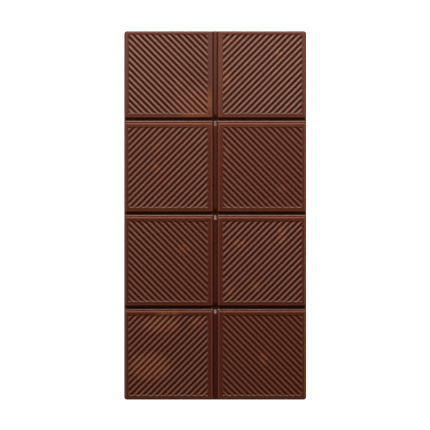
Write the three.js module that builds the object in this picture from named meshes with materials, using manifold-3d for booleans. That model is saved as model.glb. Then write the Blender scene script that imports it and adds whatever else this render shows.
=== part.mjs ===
// A moulded tablet of chocolate: two columns and four rows of tiles, parted by break grooves,
// each tile with a sunk panel of diagonal ribs that turn the other way from tile to tile.
// Millimetres, +Z up. The tablet lies on its flat back; the origin is the middle of the back.
// +Y runs along the tablet and +X across it.
import * as THREE from "three";
import { mergeVertices } from "three/addons/utils/BufferGeometryUtils.js";
import Module from "manifold-3d";

// Whole tablet
const LENGTH = 155.4;
const WIDTH = 76.8;
const HEIGHT = 6.95;
const OUTLINE_CORNER = 1.15; // corner radius of the back's outline
const BACK_EDGE = 0.25; // small round where the back meets the sides
const WALL_DRAFT = 0.45; // how far a side leans in on its way up
const RIM_ROUND = 0.45; // round from a side onto the face
const TOP_END_SHARE = 0.55; // the +Y end is steeper: its lean and round are this share of the others'

// Grid of tiles
const ROWS = 4;
const COLUMNS = 2;
const ROW_PITCH = 39.6;
const COLUMN_PITCH = 39.7;
const GRID_SHIFT = 0.42; // the grid sits this far towards +Y, so the end row there is a little shorter

// Break grooves, measured from the groove's middle line
const LIP_HALF_WIDTH = 1.65; // where a groove's rounded lip starts
const LIP_ROUND = 0.45;
// The grooves across the tablet have a floor that slopes down to the middle, the groove along it a flat one
const CROSS_GROOVE = { depth: 1.65, floorHalfWidth: 0.6, floorRise: 0.3, footRound: 0.15 };
const LONG_GROOVE = { depth: 1.95, floorHalfWidth: 0.5, floorRise: 0, footRound: 0.3 };
const PIT = { depth: 0.95, reach: 2.6, halfWidth: 0.7 }; // sunk in the long groove's floor at each crossing

// Ribbed panels
const PANEL_WIDTH = 33.8;
const PANEL_LENGTH = 34.15;
const TOP_PANEL_TRIM = 0.4; // the panels at the +Y end stop short by this much
const PANEL_CORNER = 0.3;
const RIB_PITCH = 1.885;
const RIB_DEPTH = 0.36;
const RIB_ANGLE = Math.PI / 4;
const RIB_END_RUN = 0.42; // length of the slope that ends each furrow
// One side of a furrow's rounded section: shares of the pitch from its middle, and of its depth
const FURROW_SIDE = [
  [0.11, 1],
  [0.29, 0.42],
  [0.46, 0],
];

// How finely curves are cut into flat faces
const CORNER_STEPS = 4;
const RIM_STEPS = 3;
const LIP_STEPS = 3;
const PIT_STEPS = 4;
const CLEAR = 1; // how far cutters reach past what they cut

const wasm = await Module();
wasm.setup();

/** A closed three.js geometry as a manifold-3d solid. */
function solidOf(geometry) {
  const bare = geometry.index ? geometry.toNonIndexed() : geometry.clone();
  bare.deleteAttribute("normal");
  bare.deleteAttribute("uv");
  const merged = mergeVertices(bare, 1e-4);
  const vertProperties = merged.attributes.position.array;
  const triVerts = new Uint32Array(merged.index.array);
  return new wasm.Manifold(new wasm.Mesh({ numProp: 3, vertProperties, triVerts }));
}

/** The points of a rectangle with round corners, anticlockwise, at height z. */
function roundedRing({ left, right, bottom, top, radius, z }) {
  const corners = [
    [right - radius, top - radius],
    [left + radius, top - radius],
    [left + radius, bottom + radius],
    [right - radius, bottom + radius],
  ];
  return corners.flatMap(([x, y], quarter) =>
    Array.from({ length: CORNER_STEPS + 1 }, (_, step) => {
      const angle = (quarter + step / CORNER_STEPS) * (Math.PI / 2);
      return new THREE.Vector3(x + radius * Math.cos(angle), y + radius * Math.sin(angle), z);
    }),
  );
}

/** A closed skin over rings that have as many points each, from the lowest ring to the highest. */
function loft(rings) {
  const count = rings[0].length;
  const indices = [];
  for (let r = 0; r + 1 < rings.length; r++) {
    for (let i = 0; i < count; i++) {
      const [a, b] = [r * count + i, r * count + ((i + 1) % count)];
      indices.push(a, b, b + count, a, b + count, a + count);
    }
  }
  const lastRing = (rings.length - 1) * count;
  for (let i = 1; i + 1 < count; i++) {
    indices.push(0, i + 1, i);
    indices.push(lastRing, lastRing + i, lastRing + i + 1);
  }
  return new THREE.BufferGeometry().setFromPoints(rings.flat()).setIndex(indices);
}

/** The tablet's outline at height z, drawn in by inset. */
function outlineRing(inset, z) {
  return roundedRing({
    left: -WIDTH / 2 + inset,
    right: WIDTH / 2 - inset,
    bottom: -LENGTH / 2 + inset,
    top: LENGTH / 2 - inset * TOP_END_SHARE,
    radius: OUTLINE_CORNER - inset,
    z,
  });
}

/** The whole tablet before any groove is cut: leaning sides, a rounded rim and a flat back. */
function blank() {
  const rings = [outlineRing(BACK_EDGE, 0), outlineRing(0, BACK_EDGE)];
  for (let step = 0; step <= RIM_STEPS; step++) {
    const turn = (step / RIM_STEPS) * (Math.PI / 2);
    const inset = WALL_DRAFT + RIM_ROUND * (1 - Math.cos(turn));
    rings.push(outlineRing(inset, HEIGHT - RIM_ROUND * (1 - Math.sin(turn))));
  }
  return solidOf(loft(rings));
}

/** Prisms of the given sections, lying along a level direction through a point. */
function prism(sections, length, angle, middle) {
  const along = new THREE.Vector3(Math.cos(angle), Math.sin(angle), 0);
  const across = new THREE.Vector3(-Math.sin(angle), Math.cos(angle), 0);
  const up = new THREE.Vector3(0, 0, 1);
  const geometry = new THREE.ExtrudeGeometry(sections, {
    depth: length,
    steps: 1,
    curveSegments: LIP_STEPS,
    bevelEnabled: false,
  });
  geometry.translate(0, 0, -length / 2);
  geometry.applyMatrix4(new THREE.Matrix4().makeBasis(across, up, along));
  geometry.translate(middle.x, middle.y, middle.z);
  return solidOf(geometry);
}

/** A break groove's section: floor, round feet, leaning walls and rounded lips. */
function grooveSection({ depth, floorHalfWidth, floorRise, footRound }) {
  const foot = -depth + floorRise + footRound;
  const section = new THREE.Shape();
  section.absarc(-floorHalfWidth, foot, footRound, -Math.PI, -Math.PI / 2, false);
  section.lineTo(0, -depth);
  section.absarc(floorHalfWidth, foot, footRound, -Math.PI / 2, 0, false);
  section.absarc(LIP_HALF_WIDTH, -LIP_ROUND, LIP_ROUND, Math.PI, Math.PI / 2, true);
  section.lineTo(LIP_HALF_WIDTH, CLEAR);
  section.lineTo(-LIP_HALF_WIDTH, CLEAR);
  section.absarc(-LIP_HALF_WIDTH, -LIP_ROUND, LIP_ROUND, Math.PI / 2, 0, true);
  section.closePath();
  return section;
}

/** A pit's section along the long groove: it eases down from the groove's floor and back up. */
function pitSection() {
  const floor = Array.from({ length: 2 * PIT_STEPS + 1 }, (_, i) => {
    const share = i / PIT_STEPS - 1;
    const drop = PIT.depth * THREE.MathUtils.smoothstep(1 - Math.abs(share), 0, 1);
    return new THREE.Vector2(share * PIT.reach, -LONG_GROOVE.depth - drop);
  });
  const lid = -LONG_GROOVE.depth + LONG_GROOVE.footRound;
  return new THREE.Shape([
    ...floor,
    new THREE.Vector2(PIT.reach, lid),
    new THREE.Vector2(-PIT.reach, lid),
  ]);
}

/** The middle lines of the cross grooves, as Y values from the +Y end down. */
function crossGrooveLines() {
  return Array.from({ length: ROWS - 1 }, (_, i) => GRID_SHIFT + (ROWS / 2 - 1 - i) * ROW_PITCH);
}

/** All that the break grooves take away. */
function breakGrooves() {
  const face = new THREE.Vector3(0, 0, HEIGHT);
  let cut = prism(grooveSection(LONG_GROOVE), LENGTH + 2 * CLEAR, Math.PI / 2, face);
  for (const y of crossGrooveLines()) {
    const crossing = new THREE.Vector3(0, y, HEIGHT);
    cut = cut.add(prism(grooveSection(CROSS_GROOVE), WIDTH + 2 * CLEAR, 0, crossing));
    cut = cut.add(prism(pitSection(), 2 * PIT.halfWidth, 0, crossing));
  }
  return cut;
}

/** A furrow's section between two ribs, centred on offset. */
function furrowSection(offset) {
  const side = (sign) =>
    FURROW_SIDE.map(
      ([run, drop]) => new THREE.Vector2(offset + sign * run * RIB_PITCH, -drop * RIB_DEPTH),
    );
  const rightSide = side(1);
  const leftSide = side(-1);
  const edge = rightSide.at(-1).x - offset;
  return new THREE.Shape([
    ...leftSide.reverse(),
    ...rightSide,
    new THREE.Vector2(offset + edge, CLEAR),
    new THREE.Vector2(offset - edge, CLEAR),
  ]);
}

/** The space over one panel, whose sides slope in with depth and so end the furrows. */
function panelWell(middle, trim) {
  const slope = RIB_END_RUN / RIB_DEPTH;
  const ring = (z) => {
    const spread = (z - HEIGHT) * slope;
    return roundedRing({
      left: middle.x - PANEL_WIDTH / 2 - spread,
      right: middle.x + PANEL_WIDTH / 2 + spread,
      bottom: middle.y - PANEL_LENGTH / 2 - spread,
      top: middle.y + PANEL_LENGTH / 2 - trim + spread,
      radius: PANEL_CORNER,
      z,
    });
  };
  return solidOf(loft([ring(HEIGHT - RIB_DEPTH - CLEAR / 2), ring(HEIGHT + CLEAR / 2)]));
}

/** The furrows of one tile, cut off at its panel's edges. A rib's crest runs through the panel's middle. */
function panelFurrows(row, column) {
  const middle = new THREE.Vector3(
    (column - (COLUMNS - 1) / 2) * COLUMN_PITCH,
    GRID_SHIFT + ((ROWS - 1) / 2 - row) * ROW_PITCH,
    HEIGHT,
  );
  const reach = Math.hypot(PANEL_WIDTH, PANEL_LENGTH) / 2;
  const count = Math.floor(reach / RIB_PITCH);
  const offsets = Array.from({ length: 2 * count + 2 }, (_, i) => (i - count - 0.5) * RIB_PITCH);
  const lean = (row + column) % 2 === 0 ? -RIB_ANGLE : RIB_ANGLE;
  const furrows = prism(offsets.map(furrowSection), 2 * (reach + CLEAR), lean, middle);
  return furrows.intersect(panelWell(middle, row === 0 ? TOP_PANEL_TRIM : 0));
}

/** The finished tablet as one solid. */
function tablet() {
  let solid = blank().subtract(breakGrooves());
  for (let row = 0; row < ROWS; row++) {
    for (let column = 0; column < COLUMNS; column++) {
      solid = solid.subtract(panelFurrows(row, column));
    }
  }
  return solid;
}

/** A manifold-3d solid as a three.js mesh. */
function meshOf(solid, name, material) {
  const { vertProperties, triVerts } = solid.getMesh();
  const geometry = new THREE.BufferGeometry()
    .setAttribute("position", new THREE.BufferAttribute(vertProperties, 3))
    .setIndex(new THREE.BufferAttribute(triVerts, 1));
  geometry.computeVertexNormals();
  const mesh = new THREE.Mesh(geometry, material);
  mesh.name = name;
  return mesh;
}

const chocolate = new THREE.MeshStandardMaterial({
  color: new THREE.Color("#5f3124"),
  roughness: 0.42,
  metalness: 0,
  flatShading: true,
});

const chocolateBar = new THREE.Group();
chocolateBar.add(meshOf(tablet(), "chocolate_bar", chocolate));

export default chocolateBar;
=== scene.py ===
"""A moulded bar of chocolate with ribbed tiles, dressed for a studio picture.

The tablet is built the way its mould shapes it: a blank with leaning sides, break grooves taken out
of it, every edge softened, and a panel of fine diagonal ribs pressed in each tile.
All lengths are in metres; +Z is up, +Y runs along the tablet and the flat back lies at Z = 0.
"""

from __future__ import annotations

import logging
import math
from dataclasses import dataclass
from enum import Enum
from typing import Iterable, Sequence

import bmesh
import bpy
from mathutils import Matrix, Vector

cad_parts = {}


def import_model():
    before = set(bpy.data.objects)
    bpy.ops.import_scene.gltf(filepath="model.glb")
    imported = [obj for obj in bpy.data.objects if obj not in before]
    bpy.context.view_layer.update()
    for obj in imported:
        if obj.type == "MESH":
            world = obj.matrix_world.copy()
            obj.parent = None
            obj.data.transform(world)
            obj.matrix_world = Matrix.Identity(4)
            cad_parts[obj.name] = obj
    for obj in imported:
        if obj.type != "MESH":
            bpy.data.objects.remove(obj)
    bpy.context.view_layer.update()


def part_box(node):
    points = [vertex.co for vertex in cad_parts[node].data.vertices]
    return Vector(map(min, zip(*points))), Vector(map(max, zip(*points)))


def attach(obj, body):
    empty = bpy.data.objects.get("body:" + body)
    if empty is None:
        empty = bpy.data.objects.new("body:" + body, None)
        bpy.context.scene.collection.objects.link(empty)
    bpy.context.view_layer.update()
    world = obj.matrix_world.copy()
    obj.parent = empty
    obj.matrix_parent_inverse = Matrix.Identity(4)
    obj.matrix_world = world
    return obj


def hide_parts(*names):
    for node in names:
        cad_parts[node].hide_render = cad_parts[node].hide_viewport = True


MM = 0.001
MERGE = 1e-6  # corners that are closer than this are one
ON_PLANE = MERGE / 10  # a corner this close to a cutting plane lies on it
NOTES = ("lip", "crest", "open", "sheltered")  # what the mesh tells the finish about each vertex
WHITE = (1.0, 1.0, 1.0, 1.0)
Colour = tuple[float, float, float]  # red, green and blue
Place = tuple[float, float, float]
log = logging.getLogger("chocolate_bar")


class Lean(Enum):
    """Which way the ribs of a tile run, seen from above."""

    FALLING = -1  # from the upper left to the lower right
    RISING = 1  # from the lower left to the upper right

    @property
    def across(self) -> Vector:
        """The direction from one rib to the next."""
        return Vector((-self.value, 1, 0)).normalized()


class Way(Enum):
    """Which way a break groove runs."""

    ALONG = "along the tablet"
    ACROSS = "across the tablet"

    @property
    def aside(self) -> Vector:
        """The direction in which such a groove is moved to its place."""
        return Vector((0, 1, 0)) if self is Way.ACROSS else Vector((1, 0, 0))


def smooth_step(share: float) -> float:
    """Eases from 0 to 1 while share goes from 0 to 1."""
    t = min(max(share, 0.0), 1.0)
    return t * t * (3 - 2 * t)


def geometry_of(
    faces: Iterable[bmesh.types.BMFace],
) -> list[bmesh.types.BMFace | bmesh.types.BMEdge | bmesh.types.BMVert]:
    """Gathers what faces are made of.

    Args:
        faces: The faces.

    Returns:
        The faces with all their edges and corners, each once.
    """
    faces = list(faces)
    edges = {edge for face in faces for edge in face.edges}
    verts = {vert for face in faces for vert in face.verts}
    return [*faces, *edges, *verts]


def cut(
    bm: bmesh.types.BMesh, faces: Iterable[bmesh.types.BMFace], point: Vector, normal: Vector
) -> list[bmesh.types.BMFace]:
    """Cuts faces along a plane.

    Args:
        bm: The mesh that holds the faces.
        faces: The faces to cut.
        point: A point on the plane.
        normal: The plane's normal.

    Returns:
        The faces after the cut, sorted along the normal.
    """
    result = bmesh.ops.bisect_plane(
        bm, geom=geometry_of(faces), dist=ON_PLANE, plane_co=point, plane_no=normal
    )
    parts = [item for item in result["geom"] if isinstance(item, bmesh.types.BMFace)]
    return sorted(parts, key=lambda face: (face.calc_center_median() - point).dot(normal))


def round_edges(
    bm: bmesh.types.BMesh,
    edges: list[bmesh.types.BMEdge],
    radius: float,
    segments: int,
    clamped: bool = False,
) -> None:
    """Rounds edges.

    Args:
        bm: The mesh that holds the edges.
        edges: The edges to round.
        radius: How far from the edge the round starts, which is its radius on a square edge.
        segments: How many facets the round has.
        clamped: Whether rounds that would run into each other become narrower.
    """
    bmesh.ops.bevel(
        bm,
        geom=edges,
        offset=radius,
        segments=segments,
        profile=0.5,
        affect="EDGES",
        material=-1,
        clamp_overlap=clamped,
    )


def new_object(name: str, bm: bmesh.types.BMesh) -> bpy.types.Object:
    """Makes an object of a bmesh, frees the bmesh and links the object to the scene.

    Args:
        name: The object's name.
        bm: The bmesh.

    Returns:
        The object.
    """
    mesh = bpy.data.meshes.new(name)
    bm.to_mesh(mesh)
    bm.free()
    made = bpy.data.objects.new(name, mesh)
    bpy.context.scene.collection.objects.link(made)
    return made


@dataclass
class Blank:
    """The tablet before its grooves: leaning sides, rounded corners and a flat back."""

    width: float
    length: float
    height: float
    wall_draft: float = 0.45 * MM  # how far a side leans in between the back and the face
    far_end_share: float = 0.55  # the lean of the +Y end, as a share of the other sides' lean
    corner_radius: float = 1.15 * MM
    corner_segments: int = 7
    back_edge: float = 0.22 * MM
    back_segments: int = 3

    def build(self) -> bmesh.types.BMesh:
        """Shapes a cube into the blank.

        Returns:
            The blank's mesh, its back on the ground.
        """
        bm = bmesh.new()
        bmesh.ops.create_cube(bm, size=1)
        bmesh.ops.translate(bm, verts=bm.verts, vec=(0, 0, 0.5))
        bmesh.ops.scale(bm, verts=bm.verts, vec=(self.width, self.length, self.height))
        face_corners = [vert for vert in bm.verts if vert.co.z > self.height / 2]
        shrink = (1 - 2 * self.wall_draft / self.width, 1 - 2 * self.wall_draft / self.length, 1)
        bmesh.ops.scale(bm, verts=face_corners, vec=shrink)
        far = [vert for vert in face_corners if vert.co.y > 0]
        bmesh.ops.translate(bm, verts=far, vec=(0, self.wall_draft * (1 - self.far_end_share), 0))
        round_edges(bm, self._upright_edges(bm), self.corner_radius, self.corner_segments, clamped=True)
        back = [edge for edge in bm.edges if all(vert.co.z < MERGE for vert in edge.verts)]
        round_edges(bm, back, self.back_edge, self.back_segments, clamped=True)
        return bm

    @staticmethod
    def _upright_edges(bm: bmesh.types.BMesh) -> list[bmesh.types.BMEdge]:
        """The edges that join the back to the face."""
        return [edge for edge in bm.edges if abs(edge.verts[0].co.z - edge.verts[1].co.z) > MERGE]


@dataclass(frozen=True)
class GrooveSection:
    """The section of a break groove: a floor that may slope up from its middle, round feet, leaning walls."""

    depth: float
    floor_half_width: float
    foot_radius: float
    floor_slope: float = 0.0
    half_width: float = 1.2 * MM  # at the face, before the lips are rounded
    foot_segments: int = 6

    def draw(self, bm: bmesh.types.BMesh, face_height: float, reach: float) -> None:
        """Draws the section as one face in the XZ plane.

        Args:
            bm: The mesh to draw in.
            face_height: The height of the face that the groove is cut in.
            reach: How far the section stands out above the face.
        """
        middle = bm.verts.new((0, 0, face_height - self.depth))
        start = bmesh.ops.extrude_vert_indiv(bm, verts=[middle])["verts"][0]
        start.co += Vector((1, 0, math.tan(self.floor_slope))) * self.floor_half_width
        upright = Vector((-math.sin(self.floor_slope), 0, math.cos(self.floor_slope)))
        centre = start.co + upright * self.foot_radius
        lean = math.atan((self.half_width - centre.x - self.foot_radius) / (face_height - centre.z))
        foot = bmesh.ops.spin(
            bm,
            geom=[start],
            cent=centre,
            axis=(0, -1, 0),
            angle=math.pi / 2 - lean - self.floor_slope,
            steps=self.foot_segments,
        )
        top = next(item for item in foot["geom_last"] if isinstance(item, bmesh.types.BMVert))
        wall = bmesh.ops.extrude_vert_indiv(bm, verts=[top])["verts"][0]
        climb = face_height + reach - top.co.z
        wall.co += Vector((math.tan(lean) * climb, 0, climb))
        bmesh.ops.mirror(bm, geom=[*bm.verts, *bm.edges], axis="X", merge_dist=MERGE)
        bmesh.ops.contextual_create(bm, geom=bm.edges[:])


@dataclass
class BreakGroove:
    """One straight groove along which the tablet snaps."""

    way: Way
    place: float  # how far it lies from the tablet's middle
    length: float
    section: GrooveSection
    face_height: float
    reach: float = 1 * MM  # how far the cutter stands out of what it cuts
    crossings: tuple[float, ...] = ()  # where the floor sinks into a pit
    pit_reach: float = 2.6 * MM
    pit_drop: float = 0.95 * MM
    pit_stations: int = 10  # cuts across the floor between a pit's middle and its end

    def cutter(self) -> bpy.types.Object:
        """Builds the solid that the groove takes out of the blank.

        Returns:
            The solid.
        """
        bm = bmesh.new()
        self.section.draw(bm, self.face_height, self.reach)
        sweep = bmesh.ops.extrude_face_region(bm, geom=bm.faces[:])
        far = [item for item in sweep["geom"] if isinstance(item, bmesh.types.BMVert)]
        bmesh.ops.translate(bm, verts=far, vec=(0, self.length + 2 * self.reach, 0))
        bmesh.ops.translate(bm, verts=bm.verts, vec=(0, -self.length / 2 - self.reach, 0))
        self._sink_floor(bm)
        if self.way is Way.ACROSS:
            quarter_turn = Matrix.Rotation(math.pi / 2, 3, "Z")
            bmesh.ops.rotate(bm, verts=bm.verts, cent=(0, 0, 0), matrix=quarter_turn)
        bmesh.ops.translate(bm, verts=bm.verts, vec=self.way.aside * self.place)
        bmesh.ops.recalc_face_normals(bm, faces=bm.faces)
        return new_object("groove_cutter", bm)

    def _sink_floor(self, bm: bmesh.types.BMesh) -> None:
        """Lets the floor sink into a pit at each crossing, while the walls keep their feet.

        Args:
            bm: The cutter's mesh, which still runs along Y.
        """
        lowest = self.face_height - self.section.depth
        foot = max(vert.co.z for vert in bm.verts if vert.co.z < self.face_height)
        floor = [face for face in bm.faces if all(vert.co.z < foot + MERGE for vert in face.verts)]
        for crossing in self.crossings:
            for station in range(-self.pit_stations, self.pit_stations + 1):
                along = crossing + self.pit_reach * station / self.pit_stations
                floor = cut(bm, floor, Vector((0, along, 0)), Vector((0, 1, 0)))
        for vert in {vert for face in floor for vert in face.verts}:
            vert.co.z -= self._sunk(vert.co.y) * (foot - vert.co.z) / (foot - lowest)

    def _sunk(self, along: float) -> float:
        """How far the floor has sunk at a place along the groove."""
        away = min((abs(along - crossing) for crossing in self.crossings), default=math.inf)
        return self.pit_drop * smooth_step(1 - away / self.pit_reach)


@dataclass
class RibbedPanel:
    """The sunk field of diagonal ribs on one tile."""

    left: float
    right: float
    bottom: float
    top: float
    lean: Lean
    pitch: float = 1.885 * MM
    depth: float = 0.36 * MM
    end_run: float = 0.5 * MM  # length of the slope that ends each furrow
    lines_per_pitch: int = 12
    end_steps: int = 5

    @property
    def middle(self) -> Vector:
        """The panel's middle, which a rib's crest runs through."""
        return Vector(((self.left + self.right) / 2, (self.bottom + self.top) / 2, 0))

    def inside(self, place: Vector) -> float:
        """How far a place lies inside the panel's nearest side; less than 0 outside the panel."""
        return min(place.x - self.left, self.right - place.x, place.y - self.bottom, self.top - place.y)

    def press(self, bm: bmesh.types.BMesh, faces: list[bmesh.types.BMFace]) -> None:
        """Presses the ribs in the flat face of a tile.

        Args:
            bm: The tile's own mesh.
            faces: The flat faces that the panel lies in.
        """
        panel = self._outline(bm, faces)
        strips = self._end_lines(bm, self._strips(bm, panel))
        for vert in {vert for face in strips for vert in face.verts}:
            vert.co.z -= self._relief(vert.co)

    def _sides(self) -> list[tuple[Vector, Vector]]:
        """Lists the panel's four sides.

        Returns:
            A point on each side, with the direction from there into the panel.
        """
        low = Vector((self.left, self.bottom, 0))
        high = Vector((self.right, self.top, 0))
        inward = (Vector((1, 0, 0)), Vector((0, 1, 0)))
        return [(low, way) for way in inward] + [(high, -way) for way in inward]

    def _outline(self, bm: bmesh.types.BMesh, faces: list[bmesh.types.BMFace]) -> bmesh.types.BMFace:
        """Cuts the panel's outline in the flat face.

        Args:
            bm: The tile's own mesh.
            faces: The flat faces that the panel lies in.

        Returns:
            The panel's face.
        """
        for point, inward in self._sides():
            faces = cut(bm, faces, point, inward)
        return min(faces, key=lambda face: (face.calc_center_median().xy - self.middle.xy).length)

    def _strips(self, bm: bmesh.types.BMesh, panel: bmesh.types.BMFace) -> list[bmesh.types.BMFace]:
        """Cuts the panel in long strips that run with the ribs.

        Args:
            bm: The tile's own mesh.
            panel: The panel's face.

        Returns:
            The strips.
        """
        across = self.lean.across
        step = self.pitch / self.lines_per_pitch
        reach = math.hypot(self.right - self.left, self.top - self.bottom) / 2
        count = int(reach / step)
        strips = []
        rest = panel
        for line in range(-count, count + 1):
            parts = cut(bm, [rest], self.middle + across * line * step, across)
            if len(parts) == 2:
                strips.append(parts[0])
                rest = parts[1]
        return [*strips, rest]

    def _end_lines(
        self, bm: bmesh.types.BMesh, strips: list[bmesh.types.BMFace]
    ) -> list[bmesh.types.BMFace]:
        """Cuts the strips close to the panel's sides, where the furrows end.

        Args:
            bm: The tile's own mesh.
            strips: The strips.

        Returns:
            The strips' parts.
        """
        for point, inward in self._sides():
            for line in range(1, self.end_steps + 1):
                strips = cut(bm, strips, point + inward * self.end_run * line / self.end_steps, inward)
        return strips

    def _relief(self, place: Vector) -> float:
        """Works out how deep the panel lies below the tile's face.

        Args:
            place: A place in the panel.

        Returns:
            The depth there, which fades out towards the panel's sides.
        """
        turn = (place - self.middle).xy.dot(self.lean.across.xy) / self.pitch
        furrow = (1 - math.cos(2 * math.pi * turn)) / 2
        from_side = min(place.x - self.left, self.right - place.x) / self.end_run
        from_end = min(place.y - self.bottom, self.top - place.y) / self.end_run
        return self.depth * furrow * smooth_step(from_side) * smooth_step(from_end)


@dataclass
class ChocolateBar:
    """The whole tablet: blank, break grooves, softened edges and ribbed panels."""

    width: float
    length: float
    height: float
    rows: int = 4
    columns: int = 2
    row_pitch: float = 39.6 * MM
    column_pitch: float = 39.7 * MM
    grid_shift: float = 0.42 * MM  # towards +Y, so the end row there is a little shorter
    across: GrooveSection = GrooveSection(
        depth=1.65 * MM,
        floor_half_width=0.6 * MM,
        foot_radius=0.15 * MM,
        floor_slope=math.radians(26),
    )
    along: GrooveSection = GrooveSection(depth=1.95 * MM, floor_half_width=0.5 * MM, foot_radius=0.3 * MM)
    edge_round: float = 0.45 * MM
    edge_segments: int = 5
    sharp_angle: float = math.radians(55)  # an edge is rounded where its faces turn by more than this
    back_share: float = 0.25  # an edge within this share of the height belongs to the back
    corner_round: float = 0.16 * MM
    corner_segments: int = 3
    corner_angle: float = math.radians(20)  # as sharp_angle, where grooves cross
    crossing_reach: float = 2 * MM
    above_pits: float = 0.5 * MM  # how far above the long groove's floor the crossings' corners start
    crossing_stations: tuple[float, ...] = (2.4 * MM, 4.5 * MM)  # cuts this far from a crossing
    end_stations: tuple[float, ...] = (1.1 * MM, 2.4 * MM, 4.5 * MM)  # and this far from a side or end
    flat_edge: float = 0.1 * MM  # a narrow flat band inside each tile's outline
    panel_width: float = 33.8 * MM
    panel_length: float = 34.15 * MM
    top_panel_trim: float = 0.4 * MM  # the panels at the +Y end stop short by this much
    lip_reach: float = 0.55 * MM  # how far down from the face a lip goes
    side_reach: float = 0.6 * MM  # how far in from the outline the sides lie
    side_lip: float = 0.6  # the sides count as this share of a lip, paler and duller: partly rubbed wear, partly painted glow
    level: float = 0.999  # a face whose normal rises by at least this lies level
    level_crest: float = 0.1  # the level borders get the crests' paleness (rubbed wear and painted highlight) as at this height, between furrow -1 and crest 1

    def build(self, finish: ChocolateFinish) -> bpy.types.Object:
        """Builds the tablet and dresses it.

        Args:
            finish: The chocolate's finish.

        Returns:
            The finished object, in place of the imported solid.
        """
        blank = new_object("chocolate", Blank(self.width, self.length, self.height).build())
        grooves = self._grooves()
        bm = self._take_out(blank, [groove.cutter() for groove in grooves])
        log.info("blank with %d break grooves: %d faces", len(grooves), len(bm.faces))
        self._soften_edges(bm)
        self._add_stations(bm)
        tiles = self._tile_faces(bm)
        for face in tiles:
            self._press_tile(bm, face)
        log.info("ribs pressed in %d tiles: %d faces", len(tiles), len(bm.faces))
        bmesh.ops.remove_doubles(bm, verts=bm.verts, dist=MERGE)
        for face in bm.faces:
            face.smooth = True
        self._note_relief(bm)
        bar = new_object("chocolate_tablet", bm)
        weighted = bar.modifiers.new("flat faces stay flat", "WEIGHTED_NORMAL")
        weighted.keep_sharp = True
        bar.data.materials.append(finish.material())
        return bar

    def _cross_lines(self) -> tuple[float, ...]:
        """Where the grooves across the tablet lie."""
        return tuple(self.grid_shift + (self.rows / 2 - 1 - i) * self.row_pitch for i in range(self.rows - 1))

    def _grooves(self) -> list[BreakGroove]:
        """Lays out the tablet's break grooves.

        Returns:
            The grooves across, then the one along.
        """
        lines = self._cross_lines()
        across = [BreakGroove(Way.ACROSS, line, self.width, self.across, self.height) for line in lines]
        along = BreakGroove(Way.ALONG, 0.0, self.length, self.along, self.height, crossings=lines)
        return [*across, along]

    @staticmethod
    def _take_out(blank: bpy.types.Object, cutters: Sequence[bpy.types.Object]) -> bmesh.types.BMesh:
        """Takes the cutters out of the blank and removes all of them from the scene.

        Args:
            blank: The blank.
            cutters: What is taken out of it.

        Returns:
            What is left of the blank.
        """
        for cutter in cutters:
            modifier = blank.modifiers.new(cutter.name, "BOOLEAN")
            modifier.operation = "DIFFERENCE"
            modifier.solver = "MANIFOLD"
            modifier.object = cutter
        bm = bmesh.new()
        bm.from_object(blank, bpy.context.evaluated_depsgraph_get())
        for used in (blank, *cutters):
            mesh = used.data
            bpy.data.objects.remove(used)
            bpy.data.meshes.remove(mesh)
        return bm

    def _soften_edges(self, bm: bmesh.types.BMesh) -> None:
        """Rounds every outward edge above the back, and less so the corners where grooves cross.

        Args:
            bm: The tablet's mesh.
        """
        outer = [
            edge
            for edge in bm.edges
            if edge.calc_face_angle_signed(0) > self.sharp_angle
            and max(vert.co.z for vert in edge.verts) > self.height * self.back_share
            and not self._in_crossing(edge)
        ]
        round_edges(bm, outer, self.edge_round, self.edge_segments)
        corners = [
            edge
            for edge in bm.edges
            if edge.calc_face_angle_signed(0) > self.corner_angle
            and self._in_crossing(edge)
            and min(vert.co.z for vert in edge.verts) > self.height - self.along.depth + self.above_pits
        ]
        round_edges(bm, corners, self.corner_round, self.corner_segments)

    def _add_stations(self, bm: bmesh.types.BMesh) -> None:
        """Cuts all but the tiles' faces across beside every crossing and end.

        What is shaded or noted at a crossing or an end then fades out close to it, and not along the
        whole of a groove.

        Args:
            bm: The tablet's mesh.
        """
        tiles = set(self._tile_faces(bm))
        faces = [face for face in bm.faces if face not in tiles]
        across = (self.width / 2, (0.0,), Vector((1, 0, 0)))
        along = (self.length / 2, self._cross_lines(), Vector((0, 1, 0)))
        for half_size, lines, direction in (across, along):
            places = [half_size - away for away in self.end_stations]
            places += [away - half_size for away in self.end_stations]
            for line in lines:
                places += [line + away for away in self.crossing_stations]
                places += [line - away for away in self.crossing_stations]
            for place in places:
                faces = cut(bm, faces, direction * place, direction)

    def _in_crossing(self, edge: bmesh.types.BMEdge) -> bool:
        """Tells whether an edge lies where two grooves cross, apart from the lips along the tiles.

        Args:
            edge: The edge.

        Returns:
            Whether its middle lies in a crossing.
        """
        middle = (edge.verts[0].co + edge.verts[1].co) / 2
        return abs(middle.x) < self.crossing_reach and any(
            abs(middle.y - line) < self.crossing_reach for line in self._cross_lines()
        )

    def _tile_faces(self, bm: bmesh.types.BMesh) -> list[bmesh.types.BMFace]:
        """The flat top faces of the tiles."""
        least_area = (self.panel_width / 2) ** 2
        return [face for face in bm.faces if face.normal.z > self.level and face.calc_area() > least_area]

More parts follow.
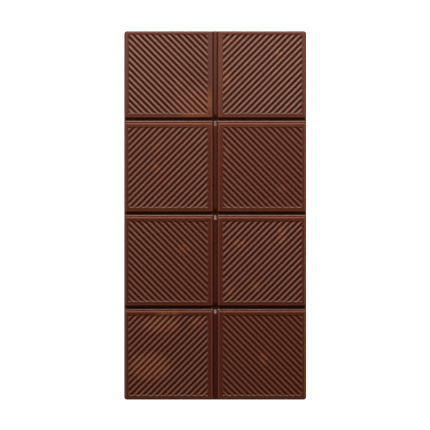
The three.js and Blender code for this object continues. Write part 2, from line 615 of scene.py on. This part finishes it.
    def _press_tile(self, bm: bmesh.types.BMesh, face: bmesh.types.BMFace) -> None:
        """Swaps a tile's plain top face for one with a ribbed panel.

        Args:
            bm: The tablet's mesh.
            face: The tile's top face.
        """
        middle = face.calc_center_bounds()
        column = round(middle.x / self.column_pitch + (self.columns - 1) / 2)
        row = round((self.rows - 1) / 2 - (middle.y - self.grid_shift) / self.row_pitch)
        top = bmesh.new()
        flat = top.faces.new([top.verts.new(vert.co) for vert in face.verts])
        top.normal_update()
        bmesh.ops.inset_individual(top, faces=[flat], thickness=self.flat_edge, use_even_offset=True)
        self._panel(row, column).press(top, [flat])
        pressed = bpy.data.meshes.new("pressed tile")
        top.to_mesh(pressed)
        top.free()
        bmesh.ops.delete(bm, geom=[face], context="FACES_ONLY")
        bm.from_mesh(pressed)
        bpy.data.meshes.remove(pressed)

    def _note_relief(self, bm: bmesh.types.BMesh) -> None:
        """Notes on every vertex what the finish has to know about it.

        The lip note fades from 1 at the top of the lips to 0 below them, or to side_lip on the sides. The
        crest note goes from -1 in the furrows to 1 on the crests, and is level_crest on the level borders
        and the panels' outlines. The open note says how well rub marks reach the vertex. The sheltered
        note rises to 1 on the floors of the grooves across the tablet. Elsewhere the notes are 0.

        Args:
            bm: The tablet's mesh.
        """
        lip, crest, reached, sheltered = [bm.verts.layers.float.new(name) for name in NOTES]
        panels = [self._panel(row, column) for row in range(self.rows) for column in range(self.columns)]
        bm.normal_update()
        for vert in bm.verts:
            below = self.height - vert.co.z
            panel = next((item for item in panels if item.inside(vert.co) > -MERGE), None)
            if panel:
                on_ribs = smooth_step(panel.inside(vert.co) / panel.end_run)
                vert[reached] = 1 - min(below / panel.depth, 1.0)
                vert[crest] = on_ribs * (2 * vert[reached] - 1) + (1 - on_ribs) * self.level_crest
                continue
            near_face = 1 - smooth_step(below / self.lip_reach)
            vert[reached] = near_face
            if all(face.normal.z > self.level for face in vert.link_faces):
                vert[crest] = self.level_crest * near_face
            else:
                vert[lip] = max(near_face, self.side_lip * self._on_side(vert.co))
            if self._in_cross_groove(vert.co):
                vert[sheltered] = 1 - near_face

    def _on_side(self, place: Vector) -> bool:
        """Whether a place lies on one of the tablet's sides, above its back."""
        to_side = min(self.width / 2 - abs(place.x), self.length / 2 - abs(place.y))
        return to_side < self.side_reach and place.z > MERGE

    def _in_cross_groove(self, place: Vector) -> bool:
        """Tells whether a place lies in a groove across the tablet, apart from its ends and the crossing.

        Args:
            place: The place.

        Returns:
            Whether it lies there.
        """
        half_width = self.across.half_width + self.edge_round
        by_line = any(abs(place.y - line) < half_width for line in self._cross_lines())
        return by_line and self.crossing_reach < abs(place.x) < self.width / 2 - self.side_reach

    def _panel(self, row: int, column: int) -> RibbedPanel:
        """Lays out the ribbed panel of a tile.

        Args:
            row: The tile's row, counted from the +Y end.
            column: The tile's column, counted from the -X side.

        Returns:
            The panel.
        """
        x = (column - (self.columns - 1) / 2) * self.column_pitch
        y = self.grid_shift + ((self.rows - 1) / 2 - row) * self.row_pitch
        trim = self.top_panel_trim if row == 0 else 0.0
        return RibbedPanel(
            left=x - self.panel_width / 2,
            right=x + self.panel_width / 2,
            bottom=y - self.panel_length / 2,
            top=y + self.panel_length / 2 - trim,
            lean=Lean.FALLING if (row + column) % 2 == 0 else Lean.RISING,
        )


class Value:
    """A number, place or colour that flows through a material, with arithmetic on numbers."""

    def __init__(self, recipe: Recipe, socket: bpy.types.NodeSocket) -> None:
        """Wraps a socket of a recipe's material."""
        self.recipe = recipe
        self.socket = socket

    def _math(self, operation: str, *terms: Value | float) -> Value:
        """Adds a Math node for the terms."""
        return self.recipe.node("ShaderNodeMath", {"operation": operation}, dict(enumerate(terms)))

    def __add__(self, other: Value | float) -> Value:
        """Self plus other."""
        return self._math("ADD", self, other)

    __radd__ = __add__

    def __sub__(self, other: Value | float) -> Value:
        """Self minus other."""
        return self._math("SUBTRACT", self, other)

    def __rsub__(self, other: Value | float) -> Value:
        """Other minus self."""
        return self._math("SUBTRACT", other, self)

    def __neg__(self) -> Value:
        """Self with the other sign."""
        return 0.0 - self

    def __mul__(self, other: Value | float) -> Value:
        """Self times other."""
        return self._math("MULTIPLY", self, other)

    __rmul__ = __mul__

    def clamped(self) -> Value:
        """Self held between 0 and 1."""
        return self._math("MAXIMUM", self._math("MINIMUM", self, 1.0), 0.0)

    def stepped(self, low: float, high: float) -> Value:
        """Eases from one value of self to another.

        Args:
            low: Where the result starts to rise from 0.
            high: Where it reaches 1.

        Returns:
            The eased value.
        """
        settings = {"interpolation_type": "SMOOTHSTEP"}
        values = {"Value": self, "From Min": low, "From Max": high}
        return self.recipe.node("ShaderNodeMapRange", settings, values)

    def beside(self, output: str) -> Value:
        """Another output of the node that self comes from."""
        return Value(self.recipe, self.socket.node.outputs[output])

    def feed(self, socket: bpy.types.NodeSocket) -> None:
        """Links self to a socket."""
        self.recipe.tree.links.new(self.socket, socket)


class Recipe:
    """The nodes that make up one material."""

    MIX_SHARE, MIX_LOW, MIX_HIGH, MIXED = 0, 6, 7, 2  # the Mix node's sockets for colours

    def __init__(self, material: bpy.types.Material) -> None:
        """Starts from a plain shader.

        Args:
            material: The material.
        """
        material.use_nodes = True
        self.tree = material.node_tree
        self.shader = self.tree.nodes["Principled BSDF"]

    def node(
        self, kind: str, settings: dict[str, object], values: dict[int | str, object], output: int | str = 0
    ) -> Value:
        """Adds a node.

        Args:
            kind: The node's type.
            settings: The node's own settings, which are set before its sockets.
            values: What each socket gets, by its name or number: a Value is linked, anything else is set.
            output: The output that is wanted.

        Returns:
            That output.
        """
        made = self.tree.nodes.new(kind)
        for name, setting in settings.items():
            setattr(made, name, setting)
        for key, value in values.items():
            if isinstance(value, Value):
                value.feed(made.inputs[key])
            else:
                made.inputs[key].default_value = value
        return Value(self, made.outputs[output])

    def note(self, name: str) -> Value:
        """What the mesh notes under a name."""
        return self.node("ShaderNodeAttribute", {"attribute_name": name}, {}, "Fac")

    def vector(self, operation: str, *terms: Value | Place, output: str = "Vector") -> Value:
        """Adds a Vector Math node for the terms."""
        return self.node("ShaderNodeVectorMath", {"operation": operation}, dict(enumerate(terms)), output)

    def mix(self, share: Value, low: Value | Colour, high: Value | Colour) -> Value:
        """Mixes two colours.

        Args:
            share: How much of the high colour there is, from 0 to 1.
            low: One colour.
            high: The other.

        Returns:
            The mixed colour.
        """
        low, high = ((*end, 1) if isinstance(end, tuple) else end for end in (low, high))
        values = {self.MIX_SHARE: share, self.MIX_LOW: low, self.MIX_HIGH: high}
        return self.node("ShaderNodeMix", {"data_type": "RGBA"}, values, self.MIXED)

    def feed(self, value: Value, socket: str) -> None:
        """Links a value to one of the shader's sockets."""
        value.feed(self.shader.inputs[socket])


@dataclass(frozen=True)
class Mottle:
    """Soft noise that swings about its middle."""

    MIDDLE = 0.5

    scale: float  # bumps a metre
    detail: float  # how many finer layers there are

    def over(self, recipe: Recipe, place: Value) -> Value:
        """Spreads the noise over a material.

        Args:
            recipe: The material's nodes.
            place: Where a point lies on the tablet.

        Returns:
            The noise there.
        """
        values = {"Vector": place, "Scale": self.scale, "Detail": self.detail}
        return recipe.node("ShaderNodeTexNoise", {"noise_dimensions": "3D"}, values)


@dataclass(frozen=True)
class RubMark:
    """A place where the face has been rubbed: paler and warmer than the rest."""

    x: float
    y: float
    half_width: float
    half_length: float
    strength: float = 1.0
    fade: tuple[float, float] = (0.25, 1.15)  # it fades out between these shares of its size
    unbroken: float = 0.0  # the share of it that the chocolate's grain doesn't break up

    def over(self, recipe: Recipe, place: Value, broken: Value) -> Value:
        """Spreads the mark over a material.

        Args:
            recipe: The material's nodes.
            place: Where a point lies on the tablet.
            broken: The grain that breaks the mark up, from 0 to 1.

        Returns:
            How strong the mark is there.
        """
        middle = (self.x, self.y, 0)
        shrink = (1 / self.half_width, 1 / self.half_length, 0)
        away = recipe.vector("MULTIPLY", recipe.vector("SUBTRACT", place, middle), shrink)
        distance = recipe.vector("LENGTH", away, output="Value")
        kept = self.unbroken + (1 - self.unbroken) * broken if self.unbroken else broken
        return self.strength * (1 - distance.stepped(*self.fade)) * kept


@dataclass(frozen=True)
class ChocolateFinish:
    """Milk chocolate: satin face and poured back; edges and crests painted paler, partly rubbed wear and
    partly painted highlight and glow, and furrows darkened with painted shade.
    """

    # painted shade: the colour that the furrows darken to
    furrow: Colour = (0.066, 0.0105, 0.0041)
    deep: Colour = (0.080, 0.0128, 0.0050)
    body: Colour = (0.096, 0.0157, 0.0061)
    # the flecks' own paler colour, and that of the painted highlight and glow on lips and crests
    pale_and_highlight: Colour = (0.190, 0.0345, 0.0130)
    rubbed: Colour = (0.355, 0.098, 0.036)
    # paler lips and sides: partly rubbed wear, partly painted glow of light through the thin edges
    lip_rub_and_glow: float = 0.85
    # paler crests: partly rubbed wear, partly painted highlight
    crest_rub_and_highlight: float = 0.70
    crest_highlight_drift: float = -3.4  # a metre towards +Y: the painted crest highlight grows towards the -Y end, away from the lights
    furrow_share: float = 0.12  # how much of a rub mark reaches the furrows
    fleck_paleness: float = 0.2
    grain_in_shade: float = 0.55  # the rest of the shading comes from the clouds
    shade_ends: tuple[float, float] = (0.30, 0.72)
    mark_ends: tuple[float, float] = (0.34, 0.60)  # between these the grain breaks the rub marks up
    roughness: float = 0.278
    roughness_spread: float = 0.14
    roughness_drift: float = -0.95  # a metre towards +Y
    sheltered_gloss: float = 0.13  # how much smoother the grooves' floors are
    lip_dullness: float = 0.35
    back_dullness: float = 0.14
    specular: float = 0.5
    clouds: Mottle = Mottle(scale=42.0, detail=3.0)
    grain: Mottle = Mottle(scale=900.0, detail=4.0)
    flecks: Mottle = Mottle(scale=2600.0, detail=2.0)
    waves: Mottle = Mottle(scale=75.0, detail=1.0)
    grain_relief: float = 0.0084 * MM
    fleck_relief: float = 0.0036 * MM
    wave_relief: float = 0.35 * MM  # of the poured back
    back_ends: tuple[float, float] = (0.08 * MM, 0.35 * MM)  # the back's finish fades out between these
    marks: tuple[RubMark, ...] = (
        # x, y, half width, half length, strength, fade, unbroken
        RubMark(-9.0 * MM, 48.0 * MM, 9.5 * MM, 7.0 * MM, 0.5, (0.5, 1.2), 0.7),
        RubMark(-2.2 * MM, 47.0 * MM, 1.5 * MM, 9.0 * MM, 0.06, (0.5, 1.2), 0.8),
        RubMark(-7.0 * MM, 41.8 * MM, 9.0 * MM, 1.5 * MM, 0.1, (0.5, 1.2), 0.8),
        RubMark(2.2 * MM, 58.0 * MM, 1.5 * MM, 22.0 * MM, 0.1, (0.5, 1.2), 0.8),
        RubMark(0.0, 38.1 * MM, 38.0 * MM, 1.5 * MM, 0.1, (0.6, 1.1), 0.8),
        RubMark(-16.0 * MM, 55.5 * MM, 2.4 * MM, 3.4 * MM, 0.5),
        RubMark(26.3 * MM, 68.2 * MM, 2.2 * MM, 1.9 * MM, 1.3),
        RubMark(5.0 * MM, 57.0 * MM, 2.0 * MM, 4.5 * MM, 0.7),
        RubMark(6.5 * MM, 73.0 * MM, 3.2 * MM, 2.4 * MM, 0.5),
        RubMark(-25.0 * MM, 20.2 * MM, 2.1 * MM, 2.5 * MM, 0.9),
        RubMark(-24.5 * MM, 30.5 * MM, 4.5 * MM, 4.5 * MM, 0.35),
        RubMark(5.0 * MM, 27.0 * MM, 1.5 * MM, 3.0 * MM, 0.8),
        RubMark(28.2 * MM, 10.8 * MM, 2.1 * MM, 2.1 * MM, 0.8),
        RubMark(-13.2 * MM, -14.0 * MM, 2.8 * MM, 2.3 * MM, 1.3),
        RubMark(28.2 * MM, -8.0 * MM, 2.1 * MM, 4.4 * MM, 1.9),
        RubMark(10.5 * MM, -11.8 * MM, 3.6 * MM, 2.0 * MM, 1.4),
        RubMark(16.8 * MM, -30.1 * MM, 2.3 * MM, 2.2 * MM, 1.5),
        RubMark(6.2 * MM, -32.0 * MM, 2.8 * MM, 2.3 * MM, 0.9),
        RubMark(-27.5 * MM, -63.8 * MM, 9.5 * MM, 6.6 * MM, 1.35, (0.6, 1.1), 0.3),
        RubMark(-23.0 * MM, -46.0 * MM, 9.5 * MM, 3.8 * MM, 1.25, (0.5, 1.1), 0.3),
        RubMark(-20.0 * MM, -41.2 * MM, 6.0 * MM, 1.5 * MM, 0.6),
        RubMark(-7.2 * MM, -45.0 * MM, 3.8 * MM, 2.8 * MM, 0.9),
        RubMark(20.6 * MM, -60.0 * MM, 2.4 * MM, 3.2 * MM, 1.2),
    )

    def material(self) -> bpy.types.Material:
        """Makes the material.

        Returns:
            A material that reads Object coordinates and the notes on the tablet's vertices.
        """
        material = bpy.data.materials.new("milk chocolate")
        recipe = Recipe(material)
        place = recipe.node("ShaderNodeTexCoord", {}, {}, "Object")
        along = recipe.node("ShaderNodeSeparateXYZ", {}, {0: place}, "Y")
        height = along.beside("Z")
        lip, crest, reached, sheltered = (recipe.note(name) for name in NOTES)
        mottles = (self.clouds, self.grain, self.flecks, self.waves)
        clouds, grain, flecks, waves = (mottle.over(recipe, place) for mottle in mottles)
        back = 1 - height.stepped(*self.back_ends)
        marks = self._marks(recipe, place, grain.stepped(*self.mark_ends)) * (1 - back)

        shade = (1 - self.grain_in_shade) * clouds + self.grain_in_shade * grain
        level = recipe.mix(shade.stepped(*self.shade_ends), self.deep, self.body)
        # painted shade: the deeper a place lies in a furrow, the darker it is painted
        tone_with_painted_shade = recipe.mix((-crest).clamped(), level, self.furrow)
        # painted highlight, partly rubbed wear: the crests are paler, the more so towards -Y
        crest_wear_and_highlight = (self.crest_rub_and_highlight + self.crest_highlight_drift * along) * crest
        speckle = self.fleck_paleness * (flecks - Mottle.MIDDLE)
        # flecks are the chocolate's own; the paler lips and crests are partly rubbed wear, partly painted
        # highlight and glow
        with_painted_light = recipe.mix((self.lip_rub_and_glow * lip + crest_wear_and_highlight + speckle).clamped(), tone_with_painted_shade, self.pale_and_highlight)
        on_top = reached * reached
        rub = (marks * (self.furrow_share + (1 - self.furrow_share) * on_top * on_top)).clamped()
        recipe.feed(recipe.mix(rub, with_painted_light, self.rubbed), "Base Color")

        worn = self.lip_dullness * lip + self.back_dullness * back
        drift = self.roughness_drift * along * (1 - sheltered)
        uneven = self.roughness_spread * (grain - Mottle.MIDDLE) + drift
        recipe.feed(self.roughness + worn + uneven - self.sheltered_gloss * sheltered, "Roughness")

        relief = self.grain_relief * grain + self.fleck_relief * flecks + self.wave_relief * back * waves
        bump = {"Strength": 1.0, "Distance": 1.0, "Height": relief}
        recipe.feed(recipe.node("ShaderNodeBump", {}, bump, "Normal"), "Normal")
        recipe.shader.inputs["Specular IOR Level"].default_value = self.specular
        return material

    def _marks(self, recipe: Recipe, place: Value, broken: Value) -> Value:
        """Spreads all rub marks over the material.

        Args:
            recipe: The material's nodes.
            place: Where a point lies on the tablet.
            broken: The grain that breaks the marks up, from 0 to 1.

        Returns:
            How rubbed the face is there, from 0 to 1.
        """
        return sum(mark.over(recipe, place, broken) for mark in self.marks).clamped()


@dataclass(frozen=True)
class Softbox:
    """A soft light that hangs over the tablet and faces its middle."""

    name: str
    distance: float
    tilt: float  # degrees from plumb
    width: float
    height: float
    power: float
    bearing: float = 0.0  # degrees from +Y towards +X
    colour: Colour = (1.0, 0.965, 0.84)

    def hang(self) -> None:
        """Hangs the light."""
        light = bpy.data.lights.new(self.name, "AREA")
        light.shape = "RECTANGLE"
        light.size = self.width
        light.size_y = self.height
        light.energy = self.power
        light.color = self.colour
        holder = bpy.data.objects.new(self.name, light)
        bpy.context.scene.collection.objects.link(holder)
        tilt = math.radians(self.tilt)
        bearing = math.radians(self.bearing)
        level = Vector((math.sin(bearing), math.cos(bearing), 0)) * math.sin(tilt)
        holder.location = (level + Vector((0, 0, math.cos(tilt)))) * self.distance
        holder.rotation_euler = (-holder.location).to_track_quat("-Z", "Y").to_euler()


@dataclass
class Studio:
    """A lit white table, soft lights and a camera that looks straight down."""

    tablet_width: float
    table_reach: float = 3.0
    table_drop: float = 0.1 * MM  # the table lies this far below the back, so the two don't coincide
    table_colour: tuple[float, float, float, float] = (0.9, 0.9, 0.9, 1.0)
    table_glow: float = 1.0
    lens: float = 1200.0  # a long lens far away, so that the sides don't show
    sensor: float = 36.0
    tablet_share: float = 182.2 / 430  # how much of the picture's width the tablet takes
    camera_x: float = -0.09 * MM
    camera_y: float = 0.15 * MM
    camera_sight: float = 20.0  # how far the camera sees
    ambient: float = 0.012
    softboxes: tuple[Softbox, ...] = (
        Softbox("window", distance=0.58, tilt=49.5, width=1.54, height=0.166, power=2.81, bearing=-10),
        Softbox("low window", distance=0.7, tilt=72, width=0.82, height=0.15, power=2.2),
        Softbox("fill over the far end", distance=0.33, tilt=45, width=0.35, height=0.06, power=0.5),
        Softbox("overhead", distance=0.33, tilt=15, width=0.35, height=0.06, power=0.11),
        Softbox("right side", distance=0.6, tilt=70, width=0.5, height=0.13, power=0.42, bearing=90),
        Softbox("left side", distance=0.6, tilt=70, width=0.5, height=0.13, power=0.42, bearing=-90),
    )

    def build(self) -> None:
        """Sets the whole studio up."""
        self._table()
        self._camera()
        for softbox in self.softboxes:
            softbox.hang()
        self._surroundings()
        log.info("studio: %d softboxes over a white table", len(self.softboxes))

    def _table(self) -> None:
        """Lays a wide white table that glows, as a lit table does."""
        bm = bmesh.new()
        bmesh.ops.create_grid(bm, x_segments=1, y_segments=1, size=self.table_reach)
        bmesh.ops.translate(bm, verts=bm.verts, vec=(0, 0, -self.table_drop))
        table = new_object("table", bm)
        material = bpy.data.materials.new("lit white table")
        shader = Recipe(material).shader
        shader.inputs["Base Color"].default_value = self.table_colour
        shader.inputs["Emission Color"].default_value = WHITE
        shader.inputs["Emission Strength"].default_value = self.table_glow
        table.data.materials.append(material)
        table.visible_glossy = False

    def _camera(self) -> None:
        """Hangs the camera over the tablet."""
        camera = bpy.data.cameras.new("camera")
        camera.lens = self.lens
        camera.sensor_width = self.sensor
        camera.clip_end = self.camera_sight
        holder = bpy.data.objects.new("camera", camera)
        bpy.context.scene.collection.objects.link(holder)
        height = self.lens / self.sensor * self.tablet_width / self.tablet_share
        holder.location = (self.camera_x, self.camera_y, height)
        bpy.context.scene.camera = holder

    def _surroundings(self) -> None:
        """Adds a little light from all round and sets plain tones."""
        world = bpy.data.worlds.new("room")
        world.use_nodes = True
        background = world.node_tree.nodes["Background"]
        background.inputs["Color"].default_value = WHITE
        background.inputs["Strength"].default_value = self.ambient
        bpy.context.scene.world = world
        bpy.context.scene.view_settings.view_transform = "Standard"


def main() -> None:
    """Builds the tablet in its frame and sets up the studio."""
    logging.basicConfig(level=logging.INFO, format="%(name)s: %(message)s")
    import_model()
    low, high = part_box("chocolate_bar")
    bar = ChocolateBar(high.x - low.x, high.y - low.y, high.z - low.z).build(ChocolateFinish())
    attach(bar, "root")
    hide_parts("chocolate_bar")
    log.info("%s: %d vertices", bar.name, len(bar.data.vertices))
    Studio(high.x - low.x).build()


if __name__ == "__main__":
    main()
